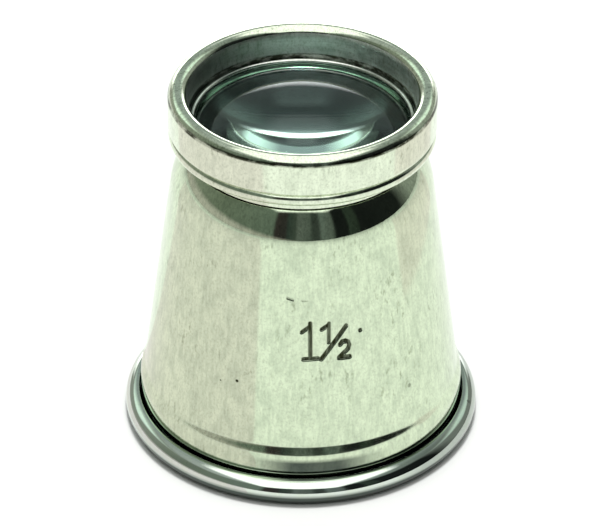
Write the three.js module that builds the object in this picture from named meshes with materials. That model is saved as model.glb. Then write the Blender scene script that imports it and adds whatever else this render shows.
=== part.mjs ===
// Watchmaker's loupe: a spun aluminium eye cup with a rolled rim, a threaded collar in its neck,
// and a lens cell that screws into the collar and holds one glass lens under a split spring ring.
// Millimetres, +Z up. The origin is the centre of the eye rim, on the plane where the loupe stands.

import * as THREE from "three";

const DEGREE = Math.PI / 180;
const ROUNDING = 1e-3;

// Eye rim: the sheet rolled outwards into a hollow bead
const RIM_DIAMETER = 36.8;
const BEAD_DIAMETER = 2.85;
const SHEET = 0.8;
const REST_FLAT_DEPTH = 0.15;
const BEAD_FREE_EDGE = 82 * DEGREE;
const BEAD_JOIN = 160 * DEGREE;

// Band above the bead, and the step up to the cone
const BAND_INSET = 0.2;
const BAND_RISE = 1.4;
const BAND_HEIGHT = 0.4;
const STEP_DEPTH = 0.5;
const STEP_HEIGHT = 1.7;

// Rounded shoulder at the top of the cone; its height is that of the round's centre
const SHOULDER_HEIGHT = 26.85;
const SHOULDER_RADIUS = 8.3;
const SHOULDER_END = 38 * DEGREE;

// Threaded collar, seated under the shoulder
const COLLAR_CLEARANCE = 0.15;
const COLLAR_FOOT = 12 * DEGREE;
const COLLAR_WALL = 0.6;
const NECK_STAND = 0.6;

// Screw thread shared by the collar and the lens cell
const PITCH = 1;
const THREAD_DEPTH = 0.4;
const THREAD_CLEARANCE = 0.2;
const THREAD_PLAIN_END = 0.15;

// Lens cell
const CELL_WALL = 2.1;
const CELL_HEIGHT = 6.2;
const CELL_SEAT_GAP = 0.2;
const FLOOR_THICKNESS = 0.6;
const SEAT_LAP = 1.46;
const SPIGOT_WALL = 0.55;
const SPIGOT_FOOT_GAP = 1;
const SKIRT_RISE = 0.6;
const SKIRT_LAP = 0.5;
const FOOT_BEAD_RADIUS = 0.68;
const FOOT_BEAD_INSET = 0.05;
const FOOT_BEAD_TOP = 60 * DEGREE;
const GROOVE_WIDTH = 0.25;
const GROOVE_DEPTH = 0.25;
const BORE_TAPER = 0.1;

// Lens: the focal length and the upper face give the lower face's curve
const LENS_DIAMETER = 22.7;
const LENS_CLEARANCE = 0.2;
const LENS_EDGE = 1.1;
const LENS_SEAT_GAP = 0.12;
const FOCAL_LENGTH = 38.1;
const GLASS_INDEX = 1.517;
const UPPER_FACE_RADIUS = 24;

// Split spring ring that holds the lens down
const RING_LAP = 0.45;
const RING_HEIGHT = 0.6;
const RING_SIDE_GAP = 0.1;
const RING_LENS_GAP = 0.12;
const RING_SPLIT = 10 * DEGREE;
const RING_SPLIT_AT = -90 * DEGREE;

// Facets of the turned surfaces
const SEGMENTS = 48;
const BEAD_STEPS = 18;
const BEND_STEPS = 4;
const FOOT_BEAD_STEPS = 6;
const RIM_STEPS = 8;
const FACE_STEPS = 6;
const THREAD_ROWS_PER_PITCH = 6;

// Radii, outwards from the lens to the mouth of the cup
const lensRadius = LENS_DIAMETER / 2;
const lensBore = lensRadius + LENS_CLEARANCE;
const cellRadius = lensBore + CELL_WALL;
const spigotBore = lensRadius - SEAT_LAP;
const spigotRadius = spigotBore + SPIGOT_WALL;
const threadRoot = spigotRadius + THREAD_DEPTH + THREAD_CLEARANCE;
const neckRadius = threadRoot + COLLAR_WALL;
const mouthRadius = neckRadius + COLLAR_CLEARANCE;

// The cup's wall, from the eye rim to the shoulder. The cone runs tangent into the shoulder's round.
const bead = {
  radius: RIM_DIAMETER / 2 - BEAD_DIAMETER / 2,
  z: BEAD_DIAMETER / 2 - REST_FLAT_DEPTH,
};
const bandRadius = bead.radius - BAND_INSET;
const bandFoot = BEAD_DIAMETER + BAND_RISE;
const bandTop = bandFoot + BAND_HEIGHT;
const coneFoot = { radius: bandRadius - STEP_DEPTH, z: bandTop + STEP_HEIGHT };
const shoulder = {
  radius: mouthRadius - SHOULDER_RADIUS * Math.cos(SHOULDER_END),
  z: SHOULDER_HEIGHT,
};
const coneReach = point(coneFoot.radius - shoulder.radius, shoulder.z - coneFoot.z);
const coneAngle = Math.atan2(coneReach.x, coneReach.y) - Math.asin(SHOULDER_RADIUS / coneReach.length());

// Heights, upwards from the shoulder to the lens and its ring
const collarArc = SHOULDER_RADIUS - SHEET - COLLAR_CLEARANCE;
const collarFoot = shoulder.z + collarArc * Math.sin(COLLAR_FOOT);
const collarTop = shoulder.z + SHOULDER_RADIUS * Math.sin(SHOULDER_END) + NECK_STAND;
const spigotFoot = collarFoot + SPIGOT_FOOT_GAP;
const cellBase = collarTop + CELL_SEAT_GAP;
const cellTop = cellBase + CELL_HEIGHT;
const seat = cellBase + FLOOR_THICKNESS;
const upperCurve = 1 / UPPER_FACE_RADIUS;
const lowerCurve = 1 / (FOCAL_LENGTH * (GLASS_INDEX - 1)) - upperCurve;
const lensFoot = seat + LENS_SEAT_GAP - sag(lowerCurve, spigotBore);
const lensTop = lensFoot + sag(lowerCurve, lensRadius) + LENS_EDGE + sag(upperCurve, lensRadius);
const ringInner = lensRadius - RING_LAP;
const ringOuter = lensBore - RING_SIDE_GAP;
const ringFoot = lensTop - sag(upperCurve, ringInner) + RING_LENS_GAP;

const aluminium = { color: 0xd9dccb, metalness: 1 };
const materials = {
  cup: new THREE.MeshStandardMaterial({ ...aluminium, roughness: 0.42 }),
  collar: new THREE.MeshStandardMaterial({ ...aluminium, roughness: 0.3 }),
  cell: new THREE.MeshStandardMaterial({ ...aluminium, roughness: 0.28 }),
  ring: new THREE.MeshStandardMaterial({ color: 0xc9ccc4, roughness: 0.22, metalness: 1 }),
  glass: new THREE.MeshStandardMaterial({
    color: 0xdcebe4,
    roughness: 0.03,
    metalness: 0,
    transparent: true,
    opacity: 0.35,
  }),
};

// How far a round face of that curvature falls away from its middle, out to a radius.
function sag(curve, radius) {
  return (curve * radius ** 2) / (1 + Math.sqrt(1 - (curve * radius) ** 2));
}

function point(radius, z) {
  return new THREE.Vector2(radius, z);
}

// Points on a circle from one angle to another, angles from the outward radius towards +Z.
function arc(centre, radius, from, to, steps) {
  return Array.from({ length: steps + 1 }, (_, i) => {
    const angle = from + ((to - from) * i) / steps;
    return point(centre.radius + radius * Math.cos(angle), centre.z + radius * Math.sin(angle));
  });
}

// A smooth bend from one point and direction to another.
function bend(start, startDirection, end, endDirection, steps) {
  const reach = start.distanceTo(end) / 3;
  const curve = new THREE.CubicBezierCurve(
    start,
    start.clone().addScaledVector(startDirection, reach),
    end.clone().addScaledVector(endDirection, -reach),
    end,
  );
  return curve.getPoints(steps);
}

// Turns a closed outline, listed anticlockwise in radius and height, about +Z.
function turned(outline) {
  return new THREE.LatheGeometry([...outline, outline[0]], SEGMENTS).rotateX(Math.PI / 2);
}

// The angle at which a round about the shoulder's centre comes in to a radius.
function shoulderAngle(round, radius) {
  return Math.acos((radius - shoulder.radius) / round);
}

// Gives a sheet its thickness on both sides of its middle line.
function sheetSides(middle, thickness) {
  const sides = { left: [], right: [] };
  middle.forEach((p, i) => {
    const before = middle[Math.max(i - 1, 0)];
    const after = middle[Math.min(i + 1, middle.length - 1)];
    const along = after.clone().sub(before).normalize();
    const across = point(along.y, -along.x).multiplyScalar(thickness / 2);
    sides.right.push(p.clone().add(across));
    sides.left.push(p.clone().sub(across));
  });
  return sides;
}

// Evenly spaced rows of a surface that carries a thread.
function threadRows(radius, from, to) {
  const count = Math.ceil((Math.abs(to - from) / PITCH) * THREAD_ROWS_PER_PITCH);
  return Array.from({ length: count + 1 }, (_, i) => point(radius, from + ((to - from) * i) / count));
}

// Moves the rows at that radius along a right-handed helix, outwards for side 1 and inwards for side -1.
// The thread runs out at both ends.
function cutThread(geometry, radius, from, to, side) {
  const position = geometry.getAttribute("position");
  for (let i = 0; i < position.count; i++) {
    const [x, y, z] = [position.getX(i), position.getY(i), position.getZ(i)];
    const onThread = Math.abs(Math.hypot(x, y) - radius) < ROUNDING && z > from && z < to;
    if (!onThread) continue;
    const runOut = THREE.MathUtils.smoothstep(Math.min(z - from, to - z), 0, PITCH / 2);
    const wave = Math.cos(2 * Math.PI * (z / PITCH) - Math.atan2(y, x));
    const scale = 1 + (side * runOut * THREAD_DEPTH * (1 + side * wave)) / 2 / radius;
    position.setXY(i, x * scale, y * scale);
  }
  return geometry;
}

function eyeCup() {
  const halfSheet = SHEET / 2;
  const curl = arc(bead, BEAD_DIAMETER / 2 - halfSheet, BEAD_FREE_EDGE, BEAD_JOIN - 2 * Math.PI, BEAD_STEPS);
  const curlDirection = point(Math.sin(BEAD_JOIN), -Math.cos(BEAD_JOIN));
  const up = point(0, 1);
  const coneDirection = point(-Math.sin(coneAngle), Math.cos(coneAngle));
  const bandStart = point(bandRadius - halfSheet, bandFoot);
  const bandEnd = point(bandRadius - halfSheet, bandTop);
  const coneStart = point(
    coneFoot.radius - halfSheet * Math.cos(coneAngle),
    coneFoot.z - halfSheet * Math.sin(coneAngle),
  );
  const [coneEnd] = arc(shoulder, SHOULDER_RADIUS - halfSheet, coneAngle, SHOULDER_END, FACE_STEPS);
  const middle = [
    ...curl,
    ...bend(curl.at(-1), curlDirection, bandStart, up, BEND_STEPS).slice(1),
    ...bend(bandEnd, up, coneStart, coneDirection, BEND_STEPS),
    coneEnd,
  ];
  const sides = sheetSides(middle, SHEET);
  const innerRound = SHOULDER_RADIUS - SHEET;
  const outline = [
    ...sides.right,
    ...arc(shoulder, SHOULDER_RADIUS, coneAngle, SHOULDER_END, FACE_STEPS).slice(1),
    ...arc(shoulder, innerRound, shoulderAngle(innerRound, mouthRadius), coneAngle, FACE_STEPS).slice(0, -1),
    ...sides.left.reverse(),
  ];
  outline.forEach((p) => p.setY(Math.max(p.y, 0)));
  return turned(outline);
}

function threadedCollar() {
  const threadFoot = collarFoot + THREAD_PLAIN_END;
  const threadTop = collarTop - THREAD_PLAIN_END;
  const outline = [
    point(threadRoot, collarFoot),
    ...arc(shoulder, collarArc, COLLAR_FOOT, shoulderAngle(collarArc, neckRadius), FACE_STEPS),
    point(neckRadius, collarTop),
    point(threadRoot, collarTop),
    ...threadRows(threadRoot, threadTop, threadFoot),
  ];
  return cutThread(turned(outline), threadRoot, threadFoot, threadTop, -1);
}

function lensCell() {
  const threadFoot = spigotFoot + THREAD_PLAIN_END;
  const threadTop = collarTop - THREAD_PLAIN_END;
  const footBead = {
    radius: cellRadius - FOOT_BEAD_INSET - FOOT_BEAD_RADIUS,
    z: cellBase + SKIRT_RISE + FOOT_BEAD_RADIUS,
  };
  const groove = footBead.z + FOOT_BEAD_RADIUS;
  const rimRadius = (CELL_WALL - BORE_TAPER) / 2;
  const rim = { radius: cellRadius - rimRadius, z: cellTop - rimRadius };
  const outline = [
    point(spigotBore, spigotFoot),
    point(spigotRadius, spigotFoot),
    ...threadRows(spigotRadius, threadFoot, threadTop),
    point(spigotRadius, cellBase),
    point(neckRadius + SKIRT_LAP, cellBase),
    ...arc(footBead, FOOT_BEAD_RADIUS, -90 * DEGREE, FOOT_BEAD_TOP, FOOT_BEAD_STEPS),
    point(cellRadius - GROOVE_DEPTH, groove),
    point(cellRadius, groove + GROOVE_WIDTH),
    ...arc(rim, rimRadius, 0, Math.PI, RIM_STEPS),
    point(lensBore, ringFoot),
    point(lensBore, seat),
    point(spigotBore, seat),
  ];
  return cutThread(turned(outline), spigotRadius, threadFoot, threadTop, 1);
}

function lens() {
  const steps = Array.from({ length: FACE_STEPS + 1 }, (_, i) => (lensRadius * i) / FACE_STEPS);
  const lowerFace = steps.map((radius) => point(radius, lensFoot + sag(lowerCurve, radius)));
  const upperFace = steps.map((radius) => point(radius, lensTop - sag(upperCurve, radius)));
  return new THREE.LatheGeometry([...lowerFace, ...upperFace.reverse()], SEGMENTS).rotateX(Math.PI / 2);
}

function retainingRing() {
  const from = RING_SPLIT_AT + RING_SPLIT / 2;
  const to = RING_SPLIT_AT + 2 * Math.PI - RING_SPLIT / 2;
  const shape = new THREE.Shape();
  shape.absarc(0, 0, ringOuter, from, to, false);
  shape.absarc(0, 0, ringInner, to, from, true);
  return new THREE.ExtrudeGeometry(shape, {
    depth: RING_HEIGHT,
    bevelEnabled: false,
    curveSegments: SEGMENTS,
  });
}

function piece(name, geometry, material) {
  const mesh = new THREE.Mesh(geometry, material);
  mesh.name = name;
  return mesh;
}

const loupe = new THREE.Group();
loupe.add(piece("eye_cup_shell", eyeCup(), materials.cup));
loupe.add(piece("threaded_collar", threadedCollar(), materials.collar));

const cell = new THREE.Group();
const ring = piece("retaining_ring", retainingRing(), materials.ring);
ring.position.z = ringFoot;
cell.add(piece("lens_cell", lensCell(), materials.cell), piece("lens", lens(), materials.glass), ring);
loupe.add(cell);

export default loupe;
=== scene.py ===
"""Looks of the watchmaker's loupe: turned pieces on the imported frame, worn aluminium, glass, soft light.

Lengths are in millimetres until a mesh is made. The frame is the CAD model's own: +Z up, with the eye
rim on z = 0. Angles are in degrees unless a name or comment says otherwise.
"""

import math

import bmesh
import bpy
import numpy as np
from mathutils import Matrix, Vector


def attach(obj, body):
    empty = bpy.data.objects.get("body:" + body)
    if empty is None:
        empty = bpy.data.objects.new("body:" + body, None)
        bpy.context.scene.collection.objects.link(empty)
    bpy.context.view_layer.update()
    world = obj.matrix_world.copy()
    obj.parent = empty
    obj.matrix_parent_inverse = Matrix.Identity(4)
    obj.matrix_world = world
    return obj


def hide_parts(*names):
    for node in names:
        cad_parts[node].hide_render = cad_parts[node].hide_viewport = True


MM = 0.001

# Eye cup, as in the CAD model, but for the bead's free edge, which comes nearer to the wall
RIM_RADIUS = 18.4
BEAD_RADIUS = 1.425
SHEET = 0.8
REST_FLAT_DEPTH = 0.15
BEAD_FREE_EDGE = 91
BEAD_JOIN = 160
BAND_INSET = 0.2
BAND_RISE = 1.4
BAND_HEIGHT = 0.4
STEP_DEPTH = 0.5
STEP_HEIGHT = 1.7
SHOULDER_HEIGHT = 26.85
SHOULDER_RADIUS = 8.3
SHOULDER_END = 38
COATING_FROM = 4.9
COATING_LAP = 1.8

# Threaded collar, and the thread it shares with the lens cell
COLLAR_CLEARANCE = 0.15
COLLAR_FOOT = 12
COLLAR_WALL = 0.6
NECK_STAND = 0.6
PITCH = 1.0
THREAD_DEPTH = 0.4
THREAD_CLEARANCE = 0.2
THREAD_PLAIN_END = 0.15

# Lens cell, with a shallower groove than in the CAD model, and a chamfered seat
CELL_WALL = 2.1
CELL_HEIGHT = 6.2
CELL_SEAT_GAP = 0.2
FLOOR_THICKNESS = 0.6
SEAT_LAP = 1.46
SPIGOT_WALL = 0.55
SPIGOT_FOOT_GAP = 1.0
SKIRT_RISE = 0.6
SKIRT_LAP = 0.5
FOOT_BEAD_RADIUS = 0.68
FOOT_BEAD_INSET = 0.05
FOOT_BEAD_TOP = 60
GROOVE_WIDTH = 0.25
GROOVE_DEPTH = 0.14
BORE_TAPER = 0.1
SEAT_CHAMFER = 0.4

# Lens and its split spring ring
LENS_RADIUS = 11.35
LENS_CLEARANCE = 0.2
LENS_EDGE = 1.1
GROUND_FROM_RADIUS = 11.3
GROUND_RISE = 0.3
LENS_SEAT_GAP = 0.12
FOCAL_LENGTH = 38.1
GLASS_INDEX = 1.517
UPPER_FACE_RADIUS = 24.0
RING_LAP = 0.45
RING_HEIGHT = 0.6
RING_SIDE_GAP = 0.1
RING_LENS_GAP = 0.12
RING_SPLIT = 10
RING_SPLIT_AT = -90

# Stamped number, with its dot and two faint scratches. Each stroke has half its width, its share of
# the full depth, and its points: across the cone, to the right, and up it.
MARK_AZIMUTH = -86.3
MARK_HEIGHT = 16.2
MARK_DEPTH = 0.12
MARK_EDGE = 0.12
MARK_ROOM_BELOW = 0.6
MARK_ROOM_ABOVE = 6.9
MARK_ROOM_LEFT = 11
MARK_ROOM_RIGHT = 23
BOW_OF_TWO = ((3.02, 1.33), (3.23, 1.62), (3.57, 1.66), (3.87, 1.46), (3.99, 1.1))
LEG_OF_TWO = ((3.85, 0.73), (2.95, -0.1))
MARK_STROKES = (
    (0.22, 0.8, ((-0.05, 3.98), (-0.03, 0.15))),
    (0.18, 0.8, ((-0.9, 3.02), (-0.16, 3.6))),
    (0.19, 1.0, ((-0.74, -0.05), (0.73, 0.01))),
    (0.18, 1.0, ((1.12, 3.25), (1.82, 3.7))),
    (0.19, 0.85, ((1.87, 3.85), (1.85, 1.75))),
    (0.2, 1.0, ((1.08, -0.1), (3.64, 3.35))),
    (0.21, 1.0, BOW_OF_TWO + LEG_OF_TWO),
    (0.22, 1.0, ((2.92, -0.14), (4.02, -0.22))),
    (0.19, 0.9, ((5.15, 2.52), (5.19, 2.52))),
    (0.12, 0.4, ((-2.34, 6.8), (-1.75, 6.62))),
    (0.08, 0.24, ((-0.92, 6.55), (-0.3, 6.5))),
)

# Dents in the cone: azimuth, height and radius
DENTS = ((-114.8, 12.75, 0.22), (-121.7, 12.25, 0.1))
DENT_CORE = 0.5

# Fineness of the turned surfaces; the margin beside the number is in radians
COLUMNS = 240
MARK_COLUMNS = 112
MARK_ROWS = 96
MARK_MARGIN = 0.01
CURL_STEPS = 40
BEND_STEPS = 10
CONE_STEPS = 6
SHOULDER_STEPS = 24
INNER_SHOULDER_STEPS = 16
COLLAR_STEPS = 12
FOOT_BEAD_STEPS = 28
RIM_STEPS = 40
ROWS_PER_PITCH = 16
LENS_STEPS = 49
RING_STEPS = 24
POLE_MERGE = 0.0001
CORNER_RADIUS = 0.09
CORNER_SHARE = 0.4
CORNER_POINTS = 5
CORNER_ANGLE = 28
SHARP_ANGLE = 40

# Metal finishes: pale colour, dull colour, and the roughness where it is smooth and where it is rough
CUP_FINISH = ((0.68, 0.775, 0.575), (0.5, 0.58, 0.43), 0.07, 0.13)
CELL_FINISH = ((0.78, 0.85, 0.68), (0.62, 0.68, 0.54), 0.08, 0.16)
BORE_FINISH = ((0.93, 0.98, 0.93), (0.6, 0.66, 0.6), 0.36, 0.5)
RING_FINISH = ((0.78, 0.79, 0.74), (0.6, 0.61, 0.57), 0.08, 0.18)
SPECK_COLOUR = (0.36, 0.4, 0.3, 1)
FLECK_COLOUR = (0.26, 0.3, 0.2, 1)
# Dark colour of the pits, the paint in the number and the dents, and of the bands of painted shade on the
# cell
DIRT_AND_SHADE_COLOUR = (0.028, 0.032, 0.014, 1)
BEAD_COLOUR = (0.76, 0.82, 0.77, 1)
# Colour of the painted shade on the cup and in the cell's bore
PAINTED_SHADE_COLOUR = (0.05, 0.064, 0.056, 1)

# Noise patterns: waves in a millimetre along x, y and z, then detail and roughness
CLOUDS = ((0.7, 0.7, 0.45), 8, 0.68)
STREAKS_UP = ((3.2, 3.2, 0.34), 4, 0.6)
STREAKS_ROUND = ((0.25, 0.25, 4), 4, 0.6)
GRAIN = ((4.5, 4.5, 3.5), 4, 0.65)
FLECKS = ((2.1, 2.1, 0.9), 3, 0.6)
WORN_SPOTS = ((0.22, 0.22, 0.22), 2, 0.5)
RAGGED = ((0.5, 0.5, 1.4), 4, 0.65)
DUST = ((1.1, 1.1, 1.1), 6, 0.65)
WIPING = ((0.5, 1.6, 0.5), 5, 0.6)
FROST = ((6, 6, 6), 3, 0.6)
FIBRES = ((0.3, 0.3, 0.3), 3, 0.5)
FLOOR_CLOUDS = ((0.004, 0.004, 0.004), 2, 0.5)

# Wear of the metal. A range of four values turns its first two into its last two.
CLOUD_SHARE = 0.6
STREAK_SHARE = 0.4
DULL_AT = 0.38
PALE_AT = 0.58
GLOSS_RANGE = (0.35, 0.65)
SPECK_RANGE = (0.48, 0.7, 0, 0.5)
FLECK_RANGE = (0.56, 0.7, 0, 0.65)
WORN_RANGE = (0.48, 0.6, 0, 1)
PIT_CELL = 2.2
PIT_SHARE = 0.05
PIT_RADIUS = 0.16
PIT_EDGE = 0.05
PIT_STRENGTH = 0.5
STAMP_RANGE = (0.05, 0.75, 0, 1)
STAMP_FADING = (0.35, 0.6, 0.74, 1)
HOLLOW_ROUGHNESS = 0.4
STREAK_RELIEF = 0.3
GRAIN_RELIEF = 0.25
HOLLOW_RELIEF = 0.8
BUMP_STRENGTH = 0.2
BUMP_DISTANCE = 0.015

# Places of the cup's wear: by height for the bead and the shoulder, and by x, y or z for the painted shade
BEAD_RANGE = (2.4, 3.6, 1, 0)
BEAD_WEAR = (0.3, 0.7, 1, 0.6)
BEAD_POLISH = (3, 5, 0.5, 1)
SHOULDER_POLISH = (27, 29, 1, 0.35)
UNDER_BEAD_SHADE = (1.1, 1.5, 0.97, 0.08)
UNDER_BEAD_SHADE_END = (1.7, 2.2, 1, 0)
BEAD_LEFT_SHADE = (-14, -9, 0.15, 0)
BEAD_RIGHT_SHADE = (8, 13, 0, 0.45)
BEAD_SHADE_TOP = (2.5, 3, 1, 0)
BAND_SHADE_FOOT = (2.6, 3.2, 0, 1)
BAND_SHADE_TOP = (4.4, 4.9, 1, 0)
BAND_SHADE_MIDDLE = 1.5
BAND_SHADE_REACH = (2.5, 7.5, 1, 0)
BAND_SHADE_FRONT = (-8, -5, 1, 0)
BAND_SHADE_PATCHES = (0.3, 0.6, 0.85, 0.97)

# Bands of painted shade round the cell: depths under the top of its rim, and heights over the foot of the
# ring.
# The painted shade in its bore thins out from left to right, by x.
RIM_SHADE = (0.86, 0.5)
BORE_SHADE = (0.3, 1.0)
SHADE_EDGE = 0.07
SHADE_PATCHES = (0.4, 0.56, 0.3, 0.97)
BORE_LEFT_SHADE = (-11, 4, 0.66, 0)

# Coating, glass, card and floor: tones are stops of a colour ramp
COATING_TONES = ((0.4, (0.006, 0.007, 0.007)), (0.7, (0.018, 0.019, 0.018)))
COATING_GLOSS = (0.3, 0.7, 0.5, 0.75)
GLASS_COLOUR = (0.72, 0.95, 0.87, 1)
GLASS_GLINT = (0.22, 0.3, 0.3, 1)
WIPED_GLOSS = (0.45, 0.75, 0, 0.008)
FROST_TONES = ((0.3, (0.08, 0.16, 0.14)), (0.7, (0.16, 0.28, 0.24)))
FROST_GLOSS = (0.3, 0.7, 0.5, 0.8)
FROST_CLEARNESS = 0.4
FLOOR_TONES = ((0.3, (0.8, 0.8, 0.79)), (0.7, (0.84, 0.84, 0.83)))
FLOOR_GLINT = 0.1
PAPER_SHADE_AT = 0.3
PAPER_PALE_AT = 0.7
PAPER_SHADE = 0.94
MATT = 0.9

# Floor and cards. A card has the azimuths of its start, its near end and its far end, to the right of
# the camera, then its inner and outer radius, and its colour.
FLOOR_HALF_SIZE = 3000
CARD_LIFT = 0.1
CARD_POINTS = 24
LEFT_CARD = (-120, -18.5, -33.6, 20, 400, (0.75, 0.69, 0.7))
RIGHT_CARD = (78, 130, 130, 58, 400, (0.77, 0.71, 0.71))

# Room tones, round the object: from behind, by the left, the front and the right
ROOM_TONES = (
    (0.0, (0.4, 0.42, 0.38)),
    (0.19, (0.28, 0.31, 0.26)),
    (0.28, (0.17, 0.2, 0.16)),
    (0.432, (0.16, 0.2, 0.17)),
    (0.438, (0.044, 0.036, 0.036)),
    (0.462, (0.036, 0.034, 0.034)),
    (0.467, (0.04, 0.055, 0.05)),
    (0.485, (0.06, 0.075, 0.065)),
    (0.49, (0.13, 0.15, 0.14)),
    (0.52, (0.1, 0.12, 0.11)),
    (0.525, (0.045, 0.055, 0.05)),
    (0.541, (0.05, 0.06, 0.055)),
    (0.546, (0.14, 0.17, 0.16)),
    (0.573, (0.12, 0.14, 0.13)),
    (0.579, (0.012, 0.014, 0.014)),
    (0.608, (0.012, 0.014, 0.014)),
    (0.613, (0.034, 0.048, 0.038)),
    (0.635, (0.028, 0.038, 0.03)),
    (0.64, (0.012, 0.014, 0.014)),
    (0.75, (0.015, 0.018, 0.017)),
    (0.8, (0.3, 0.33, 0.3)),
    (1.0, (0.4, 0.42, 0.38)),
)

# Light from each direction. Pairs are the start and end of an edge, along the direction's x, y or z.
ROOM_TOP = (0.66, 0.76)
SIDE_TURN = (-0.2, 0.2)
LEFT_TONE = (0.42, 0.46, 0.44, 1)
RIGHT_TONE = (0.25, 0.29, 0.27, 1)
LOW_WALL_SLOPE = -0.19
LOW_WALL_EDGE = (0.0, 0.1)
LOW_WALL_LIGHT = (0.54, 0.51, 0.49, 1)
BACK_EDGE = (-0.1, 0.1)
CORNER_EDGE = (0.65, 0.75)
CORNER_FOOT = (0.36, 0.42)
CORNER_TOP = (0.6, 0.7)
CORNER_LIGHT = (1.0, 1.2, 1.08, 1)
WALL_EDGE = (0.25, 0.5)
WALL_FOOT = (0.23, 0.3)
WALL_FOOT_LIGHT = (4.2, 4.3, 4.25, 1)
WALL_LIGHT = (0.33, 0.38, 0.37, 1)
BACKDROP = (1, 1, 1, 1)

# Softbox overhead, in shares of its height: narrow at its back, and its edges are soft
SOFTBOX_TAPER = (-0.5, -0.1)
SOFTBOX_HALF_WIDTHS = (0.17, 0.48)
SOFTBOX_EDGE = 0.14
SOFTBOX_BACK = (-1.1, -0.9)
SOFTBOX_FRONT = (1.1, 1.25)
SOFTBOX_LIGHT = (1.5, 1.53, 1.5, 1)
LOWEST_RISE = 0.01

# Fill light, with its power in watts
FILL_PLACE = (0, 0, 700)
FILL_SIZE = 150
FILL_POWER = 3.2

# Photograph: camera place, and its angles in radians
CAMERA_PLACE = (-0.216, -386.4, 276.05)
CAMERA_PITCH = 0.5892
CAMERA_ROLL = 0.0059
CAMERA_NEAR = 10
CAMERA_FAR = 10000
FOCAL_PIXELS = 4500.0
PHOTO_WIDTH = 599.0
SENSOR_WIDTH = 36.0

# Radii, outwards from the lens to the mouth of the cup
lens_bore = LENS_RADIUS + LENS_CLEARANCE
cell_radius = lens_bore + CELL_WALL
spigot_bore = LENS_RADIUS - SEAT_LAP
spigot_radius = spigot_bore + SPIGOT_WALL
thread_root = spigot_radius + THREAD_DEPTH + THREAD_CLEARANCE
neck_radius = thread_root + COLLAR_WALL
mouth_radius = neck_radius + COLLAR_CLEARANCE

# The cup's wall, from the eye rim to the shoulder; the cone's angle is in radians
bead_centre = (RIM_RADIUS - BEAD_RADIUS, BEAD_RADIUS - REST_FLAT_DEPTH)
band_radius = bead_centre[0] - BAND_INSET
band_foot = 2 * BEAD_RADIUS + BAND_RISE
band_top = band_foot + BAND_HEIGHT
cone_foot = (band_radius - STEP_DEPTH, band_top + STEP_HEIGHT)
shoulder_centre = (mouth_radius - SHOULDER_RADIUS * math.cos(math.radians(SHOULDER_END)), SHOULDER_HEIGHT)
cone_reach = (cone_foot[0] - shoulder_centre[0], shoulder_centre[1] - cone_foot[1])
cone_angle = math.atan2(*cone_reach) - math.asin(SHOULDER_RADIUS / math.hypot(*cone_reach))

# Heights, upwards from the shoulder to the lens and its ring
collar_arc = SHOULDER_RADIUS - SHEET - COLLAR_CLEARANCE
collar_foot = SHOULDER_HEIGHT + collar_arc * math.sin(math.radians(COLLAR_FOOT))
collar_top = SHOULDER_HEIGHT + SHOULDER_RADIUS * math.sin(math.radians(SHOULDER_END)) + NECK_STAND
spigot_foot = collar_foot + SPIGOT_FOOT_GAP
cell_base = collar_top + CELL_SEAT_GAP
cell_top = cell_base + CELL_HEIGHT
seat = cell_base + FLOOR_THICKNESS
upper_curve = 1 / UPPER_FACE_RADIUS
lower_curve = 1 / (FOCAL_LENGTH * (GLASS_INDEX - 1)) - upper_curve
ring_inner = LENS_RADIUS - RING_LAP
ring_outer = lens_bore - RING_SIDE_GAP


def sag(curve, radius):
    """How far a round face of that curvature falls away from its middle, out to a radius."""
    return curve * radius**2 / (1 + math.sqrt(1 - (curve * radius) ** 2))


lens_foot = seat + LENS_SEAT_GAP - sag(lower_curve, spigot_bore)
lens_top = lens_foot + sag(lower_curve, LENS_RADIUS) + LENS_EDGE + sag(upper_curve, LENS_RADIUS)
ring_foot = lens_top - sag(upper_curve, ring_inner) + RING_LENS_GAP


# Outlines: lists of (radius, height) points, anticlockwise


def arc(centre, radius, start, end, steps):
    """Points on a circle from one angle to another, counted from the outward radius towards +Z."""
    angles = np.radians(np.linspace(start, end, steps + 1))
    return [(centre[0] + radius * math.cos(a), centre[1] + radius * math.sin(a)) for a in angles]


def line(start, end, steps):
    """Evenly spaced points on a straight line."""
    return [tuple(p) for p in np.linspace(start, end, steps + 1)]


def bend(start, start_direction, end, end_direction):
    """A smooth bend from one point and direction to another."""
    start, end = np.array(start), np.array(end)
    reach = np.linalg.norm(end - start) / 3
    first = start + reach * np.array(start_direction)
    second = end - reach * np.array(end_direction)
    shares = np.linspace(0, 1, BEND_STEPS + 1)[:, None]
    back = 1 - shares
    ends = back**3 * start + shares**3 * end
    points = ends + 3 * back**2 * shares * first + 3 * back * shares**2 * second
    return [tuple(p) for p in points]


def sheet_sides(middle, thickness):
    """The outer and inner line of a sheet, on both sides of its middle line."""
    middle = np.array(middle)
    along = np.gradient(middle, axis=0)
    along /= np.linalg.norm(along, axis=1, keepdims=True)
    across = np.stack([along[:, 1], -along[:, 0]], axis=1) * thickness / 2
    return [tuple(p) for p in middle + across], [tuple(p) for p in middle - across]


def softened(points):
    """The closed outline with each sharp corner broken by a small round."""
    made = []
    count = len(points)
    for i, corner in enumerate(points):
        corner = np.array(corner)
        before = np.array(points[i - 1]) - corner
        after = np.array(points[(i + 1) % count]) - corner
        lengths = np.linalg.norm(before), np.linalg.norm(after)
        straight = -np.dot(before, after) / (lengths[0] * lengths[1])
        if straight > math.cos(math.radians(CORNER_ANGLE)):
            made.append(tuple(corner))
            continue
        reach = min(CORNER_RADIUS, CORNER_SHARE * min(lengths))
        start = corner + before / lengths[0] * reach
        end = corner + after / lengths[1] * reach
        for share in np.linspace(0, 1, CORNER_POINTS):
            made.append(tuple((1 - share) ** 2 * start + 2 * share * (1 - share) * corner + share**2 * end))
    return made


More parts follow.
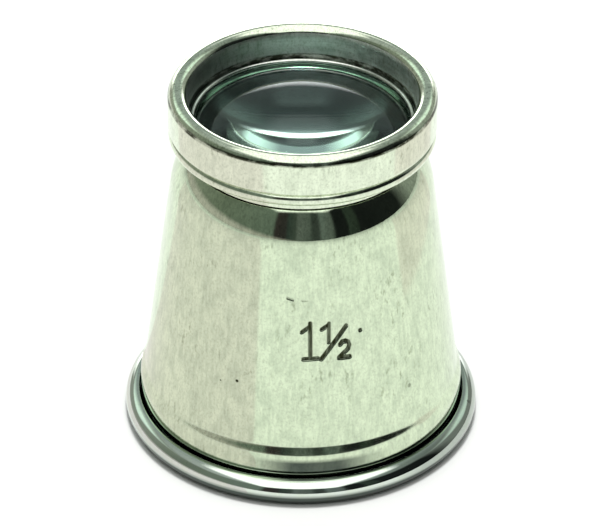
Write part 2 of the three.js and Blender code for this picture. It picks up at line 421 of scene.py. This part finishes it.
def shoulder_angle(round_radius, radius):
    """The angle at which a round about the shoulder's centre comes in to a radius."""
    return math.degrees(math.acos((radius - shoulder_centre[0]) / round_radius))


# Meshes


def turned_mesh(name, outline, azimuths, relief=None, ring=True, closed=True):
    """A mesh turned about +Z, and how far relief moved each point along its radius."""
    points = np.array(outline)
    radii = np.repeat(points[:, :1], len(azimuths), axis=1)
    heights = np.repeat(points[:, 1:], len(azimuths), axis=1)
    moved = np.zeros_like(radii) if relief is None else relief(radii, heights, azimuths[None, :])
    x = (radii + moved) * np.cos(azimuths)
    y = (radii + moved) * np.sin(azimuths)
    places = np.stack([x, y, heights], axis=2).reshape(-1, 3) * MM
    row_count, column_count = radii.shape
    faces = []
    for row in range(row_count if closed else row_count - 1):
        here = row * column_count
        above = ((row + 1) % row_count) * column_count
        for column in range(column_count if ring else column_count - 1):
            beside = (column + 1) % column_count
            faces.append((here + column, here + beside, above + beside, above + column))
    if not ring:
        first = [row * column_count for row in range(row_count)]
        faces.append(first)
        faces.append([start + column_count - 1 for start in reversed(first)])
    mesh = bpy.data.meshes.new(name)
    mesh.from_pydata(places.tolist(), [], faces)
    mesh.update()
    return mesh, moved


def merge_poles(mesh):
    """Makes one point of all those that lie together on the axis."""
    work = bmesh.new()
    work.from_mesh(mesh)
    bmesh.ops.remove_doubles(work, verts=work.verts, dist=POLE_MERGE * MM)
    work.to_mesh(mesh)
    work.free()


def piece(name, mesh, materials, node, body):
    """A shown piece that stands for a CAD node and rides on its body."""
    for material in materials:
        mesh.materials.append(material)
    mesh.polygons.foreach_set("use_smooth", [True] * len(mesh.polygons))
    mesh.set_sharp_from_angle(angle=math.radians(SHARP_ANGLE))
    made = bpy.data.objects.new(name, mesh)
    bpy.context.scene.collection.objects.link(made)
    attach(made, body)
    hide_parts(node)
    return made


def set_finishes(mesh, finish_of):
    """Gives each face the number of its material, which finish_of finds from the face."""
    mesh.polygons.foreach_set("material_index", [int(finish_of(face)) for face in mesh.polygons])


def even_azimuths():
    """Azimuths of the columns all round, in radians."""
    return np.linspace(-math.pi, math.pi, COLUMNS, endpoint=False)


def stroke_distance(across, up, stroke):
    """How far each place on the cone lies from a stroke's line."""
    nearest = np.full(np.broadcast(across, up).shape, np.inf)
    for start, end in zip(stroke[:-1], stroke[1:]):
        start, end = np.array(start), np.array(end)
        run = end - start
        share = ((across - start[0]) * run[0] + (up - start[1]) * run[1]) / np.dot(run, run)
        share = np.clip(share, 0, 1)
        gap = np.hypot(across - start[0] - share * run[0], up - start[1] - share * run[1])
        nearest = np.minimum(nearest, gap)
    return nearest


def cone_radius(height):
    """The radius of the cone's outside at a height."""
    return cone_foot[0] - (height - cone_foot[1]) * math.tan(cone_angle)


def mark_relief(radii, heights, azimuths):
    """The stamped number, pressed into the outside of the cone."""
    on_cone = np.abs(radii - cone_radius(heights)) < SHEET / 4
    across = radii * (azimuths - math.radians(MARK_AZIMUTH))
    up = (heights - MARK_HEIGHT) / math.cos(cone_angle)
    depth = np.zeros_like(radii)
    for half_width, share, stroke in MARK_STROKES:
        inside = (half_width - stroke_distance(across, up, stroke)) / MARK_EDGE
        depth = np.maximum(depth, share * np.clip(inside + 0.5, 0, 1))
    return -MARK_DEPTH * depth * on_cone


def thread_relief(radius, start, end, side):
    """A right-handed thread on the rows at that radius, outwards for side 1 and inwards for side -1."""

    def relief(radii, heights, azimuths):
        on_thread = (np.abs(radii - radius) < CORNER_RADIUS / 4) & (heights > start) & (heights < end)
        inset = np.clip(np.minimum(heights - start, end - heights) / (PITCH / 2), 0, 1)
        run_out = inset * inset * (3 - 2 * inset)
        wave = np.cos(2 * math.pi * heights / PITCH - azimuths)
        return on_thread * side * run_out * THREAD_DEPTH * (1 + side * wave) / 2

    return relief


def thread_rows(radius, start, end):
    """Points up or down a thread, close enough for its waves."""
    return line((radius, start), (radius, end), math.ceil(abs(end - start) / PITCH * ROWS_PER_PITCH))


# Nodes


def new_material(name):
    """A material, its nodes and its shader."""
    material = bpy.data.materials.new(name)
    material.use_nodes = True
    return material, material.node_tree, material.node_tree.nodes["Principled BSDF"]


def add(tree, kind, inputs=None, **settings):
    """A new node, with its settings made and its inputs linked or filled in."""
    made = tree.nodes.new(kind)
    for name, value in settings.items():
        setattr(made, name, value)
    for name, value in (inputs or {}).items():
        if isinstance(value, bpy.types.NodeSocket):
            tree.links.new(value, made.inputs[name])
        else:
            made.inputs[name].default_value = value
    return made


def stretched(tree, scale):
    """Object coordinates in millimetres, stretched by a scale."""
    coordinates = add(tree, "ShaderNodeTexCoord").outputs["Object"]
    in_millimetres = tuple(value / MM for value in scale)
    mapping = add(tree, "ShaderNodeMapping", {"Vector": coordinates, "Scale": in_millimetres})
    return mapping.outputs["Vector"]


def place_in_object(tree):
    """Object coordinates in millimetres."""
    return stretched(tree, (1, 1, 1))


def split(tree, vector):
    """The X, Y and Z of a vector."""
    return add(tree, "ShaderNodeSeparateXYZ", {"Vector": vector}).outputs


def noise(tree, scale, detail, roughness):
    """A noise pattern on the piece."""
    inputs = {"Vector": stretched(tree, scale), "Scale": 1.0, "Detail": detail, "Roughness": roughness}
    return add(tree, "ShaderNodeTexNoise", inputs).outputs["Fac"]


def ramp(tree, factor, stops):
    """A colour ramp through (position, colour) stops."""
    made = add(tree, "ShaderNodeValToRGB", {"Fac": factor})
    elements = made.color_ramp.elements
    while len(elements) < len(stops):
        elements.new(0.5)
    for element, (position, colour) in zip(elements, stops):
        element.position = position
        element.color = (*colour, 1)
    return made.outputs["Color"]


def spread(tree, value, low, high, to_low, to_high):
    """A value with the range from low to high turned into another range, and held at its ends."""
    inputs = {"Value": value, "From Min": low, "From Max": high, "To Min": to_low, "To Max": to_high}
    return add(tree, "ShaderNodeMapRange", inputs).outputs["Result"]


def rising(tree, value, edge):
    """0 before an edge and 1 past it."""
    return spread(tree, value, *edge, 0, 1)


def falling(tree, value, edge):
    """1 before an edge and 0 past it."""
    return spread(tree, value, *edge, 1, 0)


def combine(tree, operation, *values):
    """One value from several, by an operation taken from the left."""
    result = values[0]
    for value in values[1:]:
        result = add(tree, "ShaderNodeMath", {0: result, 1: value}, operation=operation).outputs["Value"]
    return result


def times(tree, *values):
    """The product of values."""
    return combine(tree, "MULTIPLY", *values)


def most(tree, *values):
    """The largest of values."""
    return combine(tree, "MAXIMUM", *values)


def size_of(tree, value):
    """A value without its sign."""
    return add(tree, "ShaderNodeMath", {0: value}, operation="ABSOLUTE").outputs["Value"]


def blend(tree, factor, first, second):
    """A mix of two colours."""
    made = add(tree, "ShaderNodeMix", {0: factor, 6: first, 7: second}, data_type="RGBA")
    return made.outputs[2]


# Masks of the metal's wear, and of painted shade


def pit_mask(tree):
    """Small round pits, one in some of the cells of a random pattern."""
    inputs = {"Vector": place_in_object(tree), "Scale": 1 / PIT_CELL, "Randomness": 1.0}
    cells = add(tree, "ShaderNodeTexVoronoi", inputs).outputs
    size = add(tree, "ShaderNodeSeparateColor", {"Color": cells["Color"]}).outputs["Red"]
    radius = spread(tree, size, 1 - PIT_SHARE, 1, 0, PIT_RADIUS)
    return rising(tree, combine(tree, "SUBTRACT", radius, cells["Distance"]), (0, PIT_EDGE))


def dent_mask(tree, azimuth, height, radius):
    """One small round dent in the cone."""
    out = cone_radius(height)
    turn = math.radians(azimuth)
    place = (out * math.cos(turn), out * math.sin(turn), height)
    away = add(tree, "ShaderNodeVectorMath", {0: place_in_object(tree), 1: place}, operation="DISTANCE")
    return falling(tree, away.outputs["Value"], (radius * DENT_CORE, radius))


def stamp_mask(tree, streak):
    """Dark paint in the stamped number, worn off in streaks."""
    mark = add(tree, "ShaderNodeAttribute", attribute_name="mark").outputs["Fac"]
    return times(tree, spread(tree, mark, *STAMP_RANGE), spread(tree, streak, *STAMP_FADING))


def painted_shade_mask(tree, cloud):
    """Painted shade on the cup: under the bead, at the bead's sides, and at the front of the band above it.
    """
    place = split(tree, place_in_object(tree))
    under = times(tree, spread(tree, place["Z"], *UNDER_BEAD_SHADE), spread(tree, place["Z"], *UNDER_BEAD_SHADE_END))
    left = spread(tree, place["X"], *BEAD_LEFT_SHADE)
    right = spread(tree, place["X"], *BEAD_RIGHT_SHADE)
    sides = times(tree, most(tree, left, right), spread(tree, place["Z"], *BEAD_SHADE_TOP))
    off_middle = size_of(tree, combine(tree, "SUBTRACT", place["X"], BAND_SHADE_MIDDLE))
    band = times(
        tree,
        spread(tree, place["Z"], *BAND_SHADE_FOOT),
        spread(tree, place["Z"], *BAND_SHADE_TOP),
        spread(tree, off_middle, *BAND_SHADE_REACH),
        spread(tree, place["Y"], *BAND_SHADE_FRONT),
        spread(tree, cloud, *BAND_SHADE_PATCHES),
    )
    return most(tree, under, band, sides)


def painted_shade_line(tree, low, high):
    """A ragged band of painted shade round a piece, between two heights."""
    height = split(tree, place_in_object(tree))["Z"]
    above = rising(tree, height, (low - SHADE_EDGE, low + SHADE_EDGE))
    below = falling(tree, height, (high - SHADE_EDGE, high + SHADE_EDGE))
    return times(tree, above, below, spread(tree, noise(tree, *RAGGED), *SHADE_PATCHES))


# Materials


def aluminium(name, finish, streaks=STREAKS_UP, cup=False, bore=False, shade_heights=None):
    """Worn bright metal: cloudy colour, specks, flecks and pits, and a ragged band of painted shade between
    two heights.

    The cell's bore also has painted shade that thins out from left to right, and the cup its bead's own
    colour, a polished bead and shoulder, painted shade under and beside the bead and on the band above it,
    the stamped number and dents.
    """
    pale, dull, smooth, rough = finish
    material, tree, shader = new_material(name)
    cloud = noise(tree, *CLOUDS)
    streak = noise(tree, *streaks)
    grain = noise(tree, *GRAIN)
    tone = combine(tree, "ADD", times(tree, cloud, CLOUD_SHARE), times(tree, streak, STREAK_SHARE))
    colour = ramp(tree, tone, ((DULL_AT, dull), (PALE_AT, pale)))
    colour = blend(tree, spread(tree, grain, *SPECK_RANGE), colour, SPECK_COLOUR)
    worn_spot = spread(tree, noise(tree, *WORN_SPOTS), *WORN_RANGE)
    scratched = times(tree, spread(tree, noise(tree, *FLECKS), *FLECK_RANGE), worn_spot)
    colour = blend(tree, scratched, colour, FLECK_COLOUR)
    hollow = times(tree, pit_mask(tree), PIT_STRENGTH)
    gloss = spread(tree, cloud, *GLOSS_RANGE, smooth, rough)
    # a ragged band of painted shade round the piece
    if shade_heights:
        colour = blend(tree, painted_shade_line(tree, *shade_heights), colour, DIRT_AND_SHADE_COLOUR)
    # painted shade, darker on the left of the bore
    if bore:
        across = split(tree, place_in_object(tree))["X"]
        colour = blend(tree, spread(tree, across, *BORE_LEFT_SHADE), colour, PAINTED_SHADE_COLOUR)
    if cup:
        height = split(tree, place_in_object(tree))["Z"]
        bead = times(tree, spread(tree, height, *BEAD_RANGE), spread(tree, cloud, *BEAD_WEAR))
        colour = blend(tree, bead, colour, BEAD_COLOUR)
        # painted shade under and beside the bead and on the band above it
        colour = blend(tree, painted_shade_mask(tree, cloud), colour, PAINTED_SHADE_COLOUR)
        gloss = times(tree, gloss, spread(tree, height, *SHOULDER_POLISH))
        gloss = times(tree, gloss, spread(tree, height, *BEAD_POLISH))
        dents = [dent_mask(tree, *dent) for dent in DENTS]
        hollow = most(tree, hollow, stamp_mask(tree, streak), *dents)
    gloss = combine(tree, "ADD", gloss, times(tree, hollow, HOLLOW_ROUGHNESS))
    tree.links.new(blend(tree, hollow, colour, DIRT_AND_SHADE_COLOUR), shader.inputs["Base Color"])
    tree.links.new(gloss, shader.inputs["Roughness"])
    shader.inputs["Metallic"].default_value = 1
    relief = combine(tree, "ADD", times(tree, streak, STREAK_RELIEF), times(tree, grain, GRAIN_RELIEF))
    relief = combine(tree, "SUBTRACT", relief, times(tree, hollow, HOLLOW_RELIEF))
    bump_inputs = {"Height": relief, "Strength": BUMP_STRENGTH, "Distance": BUMP_DISTANCE * MM}
    bump = add(tree, "ShaderNodeBump", bump_inputs)
    tree.links.new(bump.outputs["Normal"], shader.inputs["Normal"])
    return material


def black_coating(name):
    """Matt black coating of the inside, with a little dust."""
    material, tree, shader = new_material(name)
    dust = noise(tree, *DUST)
    tree.links.new(ramp(tree, dust, COATING_TONES), shader.inputs["Base Color"])
    tree.links.new(spread(tree, dust, *COATING_GLOSS), shader.inputs["Roughness"])
    return material


def clear_glass(name):
    """Clear polished glass, slightly green, with faint wiping marks in its gloss."""
    material, tree, shader = new_material(name)
    wiped = noise(tree, *WIPING)
    tree.links.new(spread(tree, wiped, *WIPED_GLOSS), shader.inputs["Roughness"])
    shader.inputs["Base Color"].default_value = GLASS_COLOUR
    shader.inputs["IOR"].default_value = GLASS_INDEX
    shader.inputs["Specular Tint"].default_value = GLASS_GLINT
    shader.inputs["Transmission Weight"].default_value = 1
    return material


def ground_glass(name):
    """The lens's ground edge: frosted and pale green."""
    material, tree, shader = new_material(name)
    frost = noise(tree, *FROST)
    tree.links.new(ramp(tree, frost, FROST_TONES), shader.inputs["Base Color"])
    tree.links.new(spread(tree, frost, *FROST_GLOSS), shader.inputs["Roughness"])
    shader.inputs["IOR"].default_value = GLASS_INDEX
    shader.inputs["Transmission Weight"].default_value = FROST_CLEARNESS
    return material


def card_paper(name, colour):
    """Matt paper with faint fibres."""
    material, tree, shader = new_material(name)
    shade = tuple(value * PAPER_SHADE for value in colour)
    tones = ((PAPER_SHADE_AT, shade), (PAPER_PALE_AT, colour))
    tree.links.new(ramp(tree, noise(tree, *FIBRES), tones), shader.inputs["Base Color"])
    shader.inputs["Roughness"].default_value = MATT
    return material


def floor_white(name):
    """Matt white floor with hardly any gloss."""
    material, tree, shader = new_material(name)
    tree.links.new(ramp(tree, noise(tree, *FLOOR_CLOUDS), FLOOR_TONES), shader.inputs["Base Color"])
    shader.inputs["Roughness"].default_value = MATT
    shader.inputs["Specular IOR Level"].default_value = FLOOR_GLINT
    return material


# Pieces


def cup_outline():
    """The cup's outer line from the bead's free edge up to the mouth, and its inner line back down."""
    half = SHEET / 2
    curl = arc(bead_centre, BEAD_RADIUS - half, BEAD_FREE_EDGE, BEAD_JOIN - 360, CURL_STEPS)
    join = math.radians(BEAD_JOIN)
    up = (0, 1)
    cone_direction = (-math.sin(cone_angle), math.cos(cone_angle))
    cone_degrees = math.degrees(cone_angle)
    band_start = (band_radius - half, band_foot)
    band_end = (band_radius - half, band_top)
    cone_start = (cone_foot[0] - half * math.cos(cone_angle), cone_foot[1] - half * math.sin(cone_angle))
    cone_end = arc(shoulder_centre, SHOULDER_RADIUS - half, cone_degrees, SHOULDER_END, 1)[0]
    slope = (cone_end[0] - cone_start[0]) / (cone_end[1] - cone_start[1])
    mark_low = MARK_HEIGHT - MARK_ROOM_BELOW
    mark_high = MARK_HEIGHT + MARK_ROOM_ABOVE
    low = (cone_start[0] + slope * (mark_low - cone_start[1]), mark_low)
    high = (cone_start[0] + slope * (mark_high - cone_start[1]), mark_high)
    middle = [
        *curl[:-1],
        *bend(curl[-1], (math.sin(join), -math.cos(join)), band_start, up),
        *bend(band_end, up, cone_start, cone_direction),
        *line(cone_start, low, CONE_STEPS)[1:-1],
        *line(low, high, MARK_ROWS),
        *line(high, cone_end, CONE_STEPS)[1:],
    ]
    outer, inner = sheet_sides(middle, SHEET)
    inner = [point for point in inner if not mark_low < point[1] < mark_high]
    inner_round = SHOULDER_RADIUS - SHEET
    inner_end = shoulder_angle(inner_round, mouth_radius)
    outer += arc(shoulder_centre, SHOULDER_RADIUS, cone_degrees, SHOULDER_END, SHOULDER_STEPS)[1:]
    inner += arc(shoulder_centre, inner_round, cone_degrees, inner_end, INNER_SHOULDER_STEPS)[1:]
    return [(radius, max(height, 0)) for radius, height in outer + inner[::-1]]


def cup_azimuths():
    """Azimuths of the cup's columns, in radians: close together at the number, and even elsewhere."""
    left, right = MARK_AZIMUTH - MARK_ROOM_LEFT, MARK_AZIMUTH + MARK_ROOM_RIGHT
    fine = np.radians(np.linspace(left, right, MARK_COLUMNS))
    coarse = even_azimuths()
    coarse = coarse[(coarse < fine[0] - MARK_MARGIN) | (coarse > fine[-1] + MARK_MARGIN)]
    return np.sort(np.concatenate([fine, coarse]))


def make_cup(metal, coating):
    """The cup, with its number's depth kept on each point for the paint in it."""
    mesh, pressed = turned_mesh("eye_cup", softened(cup_outline()), cup_azimuths(), mark_relief)
    mark = mesh.attributes.new("mark", "FLOAT", "POINT")
    mark.data.foreach_set("value", (-pressed / MARK_DEPTH).ravel().astype(np.float32))
    piece("eye_cup", mesh, (metal, coating), "eye_cup_shell", "eye_cup")
    set_finishes(mesh, is_inside)


def faces_axis(face):
    """Whether a face looks towards the axis."""
    radial = Vector((face.center.x, face.center.y, 0))
    return face.normal.dot(radial) < 0


def is_inside(face):
    """Whether a face of the cup belongs to its coated inside."""
    height = face.center.z / MM
    return faces_axis(face) and COATING_FROM < height < collar_foot + COATING_LAP


def make_collar(metal, coating):
    """The collar, bright outside and coated inside."""
    start = collar_foot + THREAD_PLAIN_END
    end = collar_top - THREAD_PLAIN_END
    arc_end = shoulder_angle(collar_arc, neck_radius)
    outline = [
        (thread_root, collar_foot),
        *arc(shoulder_centre, collar_arc, COLLAR_FOOT, arc_end, COLLAR_STEPS),
        (neck_radius, collar_top),
        (thread_root, collar_top),
        *thread_rows(thread_root, end, start),
    ]
    name = "threaded_collar_turned"
    thread = thread_relief(thread_root, start, end, -1)
    mesh, _ = turned_mesh(name, softened(outline), even_azimuths(), thread)
    piece(name, mesh, (metal, coating), "threaded_collar", "eye_cup")
    set_finishes(mesh, faces_axis)


def make_cell(metal, bore_metal, coating):
    """The lens cell, from its threaded spigot up to its rounded rim."""
    start = spigot_foot + THREAD_PLAIN_END
    end = collar_top - THREAD_PLAIN_END
    foot_bead_height = cell_base + SKIRT_RISE + FOOT_BEAD_RADIUS
    foot_bead = (cell_radius - FOOT_BEAD_INSET - FOOT_BEAD_RADIUS, foot_bead_height)
    groove = foot_bead_height + FOOT_BEAD_RADIUS
    rim_radius = (CELL_WALL - BORE_TAPER) / 2
    rim = (cell_radius - rim_radius, cell_top - rim_radius)
    outline = [
        (spigot_bore, spigot_foot),
        (spigot_radius, spigot_foot),
        *thread_rows(spigot_radius, start, end),
        (spigot_radius, cell_base),
        (neck_radius + SKIRT_LAP, cell_base),
        *arc(foot_bead, FOOT_BEAD_RADIUS, -90, FOOT_BEAD_TOP, FOOT_BEAD_STEPS),
        (cell_radius - GROOVE_DEPTH, groove),
        (cell_radius, groove + GROOVE_WIDTH),
        *arc(rim, rim_radius, 0, 180, RIM_STEPS),
        (lens_bore, ring_foot),
        (lens_bore, seat),
        (spigot_bore + SEAT_CHAMFER, seat),
        (spigot_bore, seat - SEAT_CHAMFER),
    ]
    name = "lens_cell_turned"
    thread = thread_relief(spigot_radius, start, end, 1)
    mesh, _ = turned_mesh(name, softened(outline), even_azimuths(), thread)
    piece(name, mesh, (metal, bore_metal, coating), "lens_cell", "cell")
    set_finishes(mesh, cell_finish)


def cell_finish(face):
    """Which finish a face of the cell has: 0 bright, 1 the bore above the lens, 2 the black bore below."""
    radius = face.center.xy.length / MM
    height = face.center.z / MM
    if height > seat and lens_bore - CORNER_RADIUS < radius < lens_bore + 2 * BORE_TAPER:
        return 1
    return 2 if height < seat - SEAT_CHAMFER and radius < spigot_bore + CORNER_RADIUS else 0


def make_lens(glass, edge_glass):
    """The lens, with a ground edge. It casts no shadow, so that light comes through to the inside."""
    steps = np.linspace(0, LENS_RADIUS, LENS_STEPS)
    lower = [(radius, lens_foot + sag(lower_curve, radius)) for radius in steps]
    upper = [(radius, lens_top - sag(upper_curve, radius)) for radius in steps]
    mesh, _ = turned_mesh("lens_glass", lower + upper[::-1], even_azimuths(), closed=False)
    merge_poles(mesh)
    made = piece("lens_glass", mesh, (glass, edge_glass), "lens", "lens")
    made.visible_shadow = False
    set_finishes(mesh, is_ground)


def is_ground(face):
    """Whether a face belongs to the lens's ground edge, which takes in the part that lies on the seat."""
    return face.normal.z < GROUND_RISE and face.center.xy.length > GROUND_FROM_RADIUS * MM


def make_ring(metal):
    """The split spring ring, of flattened round wire."""
    half_width = (ring_outer - ring_inner) / 2
    half_height = RING_HEIGHT / 2
    middle = (ring_inner + half_width, ring_foot + half_height)
    round_wire = arc((0, 0), 1, 0, 360 - 360 / RING_STEPS, RING_STEPS - 1)
    outline = [(middle[0] + half_width * x, middle[1] + half_height * y) for x, y in round_wire]
    half_split = RING_SPLIT / 2
    azimuths = np.linspace(RING_SPLIT_AT + half_split, RING_SPLIT_AT + 360 - half_split, COLUMNS)
    mesh, _ = turned_mesh("spring_ring", outline, np.radians(azimuths), ring=False)
    piece("spring_ring", mesh, (metal,), "retaining_ring", "ring")


# Stage, light and camera


def make_floor():
    """A large plain floor."""
    half = FLOOR_HALF_SIZE * MM
    corners = [(-half, -half, 0), (half, -half, 0), (half, half, 0), (-half, half, 0)]
    mesh = bpy.data.meshes.new("floor")
    mesh.from_pydata(corners, [], [(0, 1, 2, 3)])
    mesh.materials.append(floor_white("floor_white"))
    floor = bpy.data.objects.new("floor", mesh)
    bpy.context.scene.collection.objects.link(floor)


def card_edge(radius, start, end):
    """Points along a card's near or far edge."""
    azimuths = np.radians(np.linspace(start, end, CARD_POINTS) - 90)
    return [(radius * math.cos(a), radius * math.sin(a), CARD_LIFT) for a in azimuths]


def make_card(name, card):
    """A card on the floor beside the object, which only its reflections show."""
    start, near_end, far_end, inner, outer, colour = card
    points = card_edge(inner, start, near_end) + card_edge(outer, start, far_end)
    faces = [(i, CARD_POINTS + i, CARD_POINTS + i + 1, i + 1) for i in range(CARD_POINTS - 1)]
    mesh = bpy.data.meshes.new(name)
    mesh.from_pydata((np.array(points) * MM).tolist(), [], faces)
    mesh.materials.append(card_paper(name + "_paper", colour))
    made = bpy.data.objects.new(name, mesh)
    made.visible_camera = False
    made.visible_diffuse = False
    made.visible_shadow = False
    bpy.context.scene.collection.objects.link(made)


def make_world():
    """The room's light.

    A dim room with a low pale wall to the left, bright corners at the back, a wall behind with a
    bright foot, and a softbox overhead that reaches past the top to the back. The camera itself sees
    plain white.
    """
    world = bpy.data.worlds.new("studio")
    bpy.context.scene.world = world
    world.use_nodes = True
    tree = world.node_tree
    direction = split(tree, add(tree, "ShaderNodeTexCoord").outputs["Generated"])
    front = times(tree, direction["Y"], -1)
    side = size_of(tree, direction["X"])

    azimuth = combine(tree, "ARCTAN2", direction["X"], front)
    room = ramp(tree, spread(tree, azimuth, -math.pi, math.pi, 0, 1), ROOM_TONES)
    sides = blend(tree, rising(tree, direction["X"], SIDE_TURN), LEFT_TONE, RIGHT_TONE)
    light = blend(tree, rising(tree, direction["Z"], ROOM_TOP), room, sides)

    low_wall_top = times(tree, direction["X"], LOW_WALL_SLOPE)
    below_top = combine(tree, "SUBTRACT", low_wall_top, direction["Z"])
    light = blend(tree, rising(tree, below_top, LOW_WALL_EDGE), light, LOW_WALL_LIGHT)

    back = falling(tree, front, BACK_EDGE)
    corner_foot = rising(tree, direction["Z"], CORNER_FOOT)
    corner_top = falling(tree, direction["Z"], CORNER_TOP)
    corner = times(tree, falling(tree, side, CORNER_EDGE), corner_top, corner_foot, back)
    light = blend(tree, corner, light, CORNER_LIGHT)

    wall = blend(tree, rising(tree, direction["Z"], WALL_FOOT), WALL_FOOT_LIGHT, WALL_LIGHT)
    light = blend(tree, times(tree, falling(tree, side, WALL_EDGE), back), light, wall)

    rise = most(tree, direction["Z"], LOWEST_RISE)
    across = combine(tree, "DIVIDE", side, rise)
    along = combine(tree, "DIVIDE", front, rise)
    half_width = spread(tree, along, *SOFTBOX_TAPER, *SOFTBOX_HALF_WIDTHS)
    inside = falling(tree, combine(tree, "SUBTRACT", across, half_width), (0, SOFTBOX_EDGE))
    box = times(tree, inside, rising(tree, along, SOFTBOX_BACK), falling(tree, along, SOFTBOX_FRONT))
    light = blend(tree, box, light, SOFTBOX_LIGHT)

    seen = add(tree, "ShaderNodeLightPath").outputs["Is Camera Ray"]
    tree.links.new(blend(tree, seen, light, BACKDROP), tree.nodes["Background"].inputs["Color"])


def make_fill():
    """A soft light from above for the floor, which the polished surfaces don't mirror."""
    data = bpy.data.lights.new("fill", "AREA")
    data.size = FILL_SIZE * MM
    data.energy = FILL_POWER
    fill = bpy.data.objects.new("fill", data)
    fill.location = Vector(FILL_PLACE) * MM
    fill.visible_glossy = False
    bpy.context.scene.collection.objects.link(fill)


def make_camera():
    """The photograph's camera."""
    data = bpy.data.cameras.new("camera")
    data.sensor_width = SENSOR_WIDTH
    data.lens = FOCAL_PIXELS / PHOTO_WIDTH * SENSOR_WIDTH
    data.clip_start = CAMERA_NEAR * MM
    data.clip_end = CAMERA_FAR * MM
    forward = Vector((0, math.cos(CAMERA_PITCH), -math.sin(CAMERA_PITCH)))
    up = Vector((0, math.sin(CAMERA_PITCH), math.cos(CAMERA_PITCH)))
    right = Vector((1, 0, 0))
    turned_right = math.cos(CAMERA_ROLL) * right + math.sin(CAMERA_ROLL) * up
    turned_up = math.cos(CAMERA_ROLL) * up - math.sin(CAMERA_ROLL) * right
    turn = Matrix((turned_right, turned_up, -forward)).transposed().to_4x4()
    camera = bpy.data.objects.new("camera", data)
    camera.matrix_world = Matrix.Translation(Vector(CAMERA_PLACE) * MM) @ turn
    bpy.context.scene.collection.objects.link(camera)
    bpy.context.scene.camera = camera


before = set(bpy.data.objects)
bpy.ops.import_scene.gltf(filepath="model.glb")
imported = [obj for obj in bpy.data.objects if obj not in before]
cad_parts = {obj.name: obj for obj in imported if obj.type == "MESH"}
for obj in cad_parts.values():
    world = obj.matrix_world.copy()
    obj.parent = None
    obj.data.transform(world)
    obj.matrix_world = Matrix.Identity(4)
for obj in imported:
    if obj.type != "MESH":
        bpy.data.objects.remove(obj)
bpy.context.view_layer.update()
bpy.context.scene.view_settings.view_transform = "Standard"
make_camera()

# Heights of the painted dark reflection on the cell's rim and of the painted shade in its bore above the
# ring
rim_line = [cell_top - depth for depth in RIM_SHADE]
bore_line = [ring_foot + height for height in BORE_SHADE]
cup_metal = aluminium("cup_aluminium", CUP_FINISH, cup=True)
bright_metal = aluminium("cell_aluminium", CELL_FINISH, shade_heights=rim_line)
inside_metal = aluminium("cell_inside", BORE_FINISH, STREAKS_ROUND, bore=True, shade_heights=bore_line)
ring_metal = aluminium("ring_steel", RING_FINISH)
black = black_coating("black_coating")

make_cup(cup_metal, black)
make_collar(bright_metal, black)
make_cell(bright_metal, inside_metal, black)
make_lens(clear_glass("lens_glass"), ground_glass("lens_ground_edge"))
make_ring(ring_metal)
make_floor()
make_card("left_card", LEFT_CARD)
make_card("right_card", RIGHT_CARD)
make_world()
make_fill()
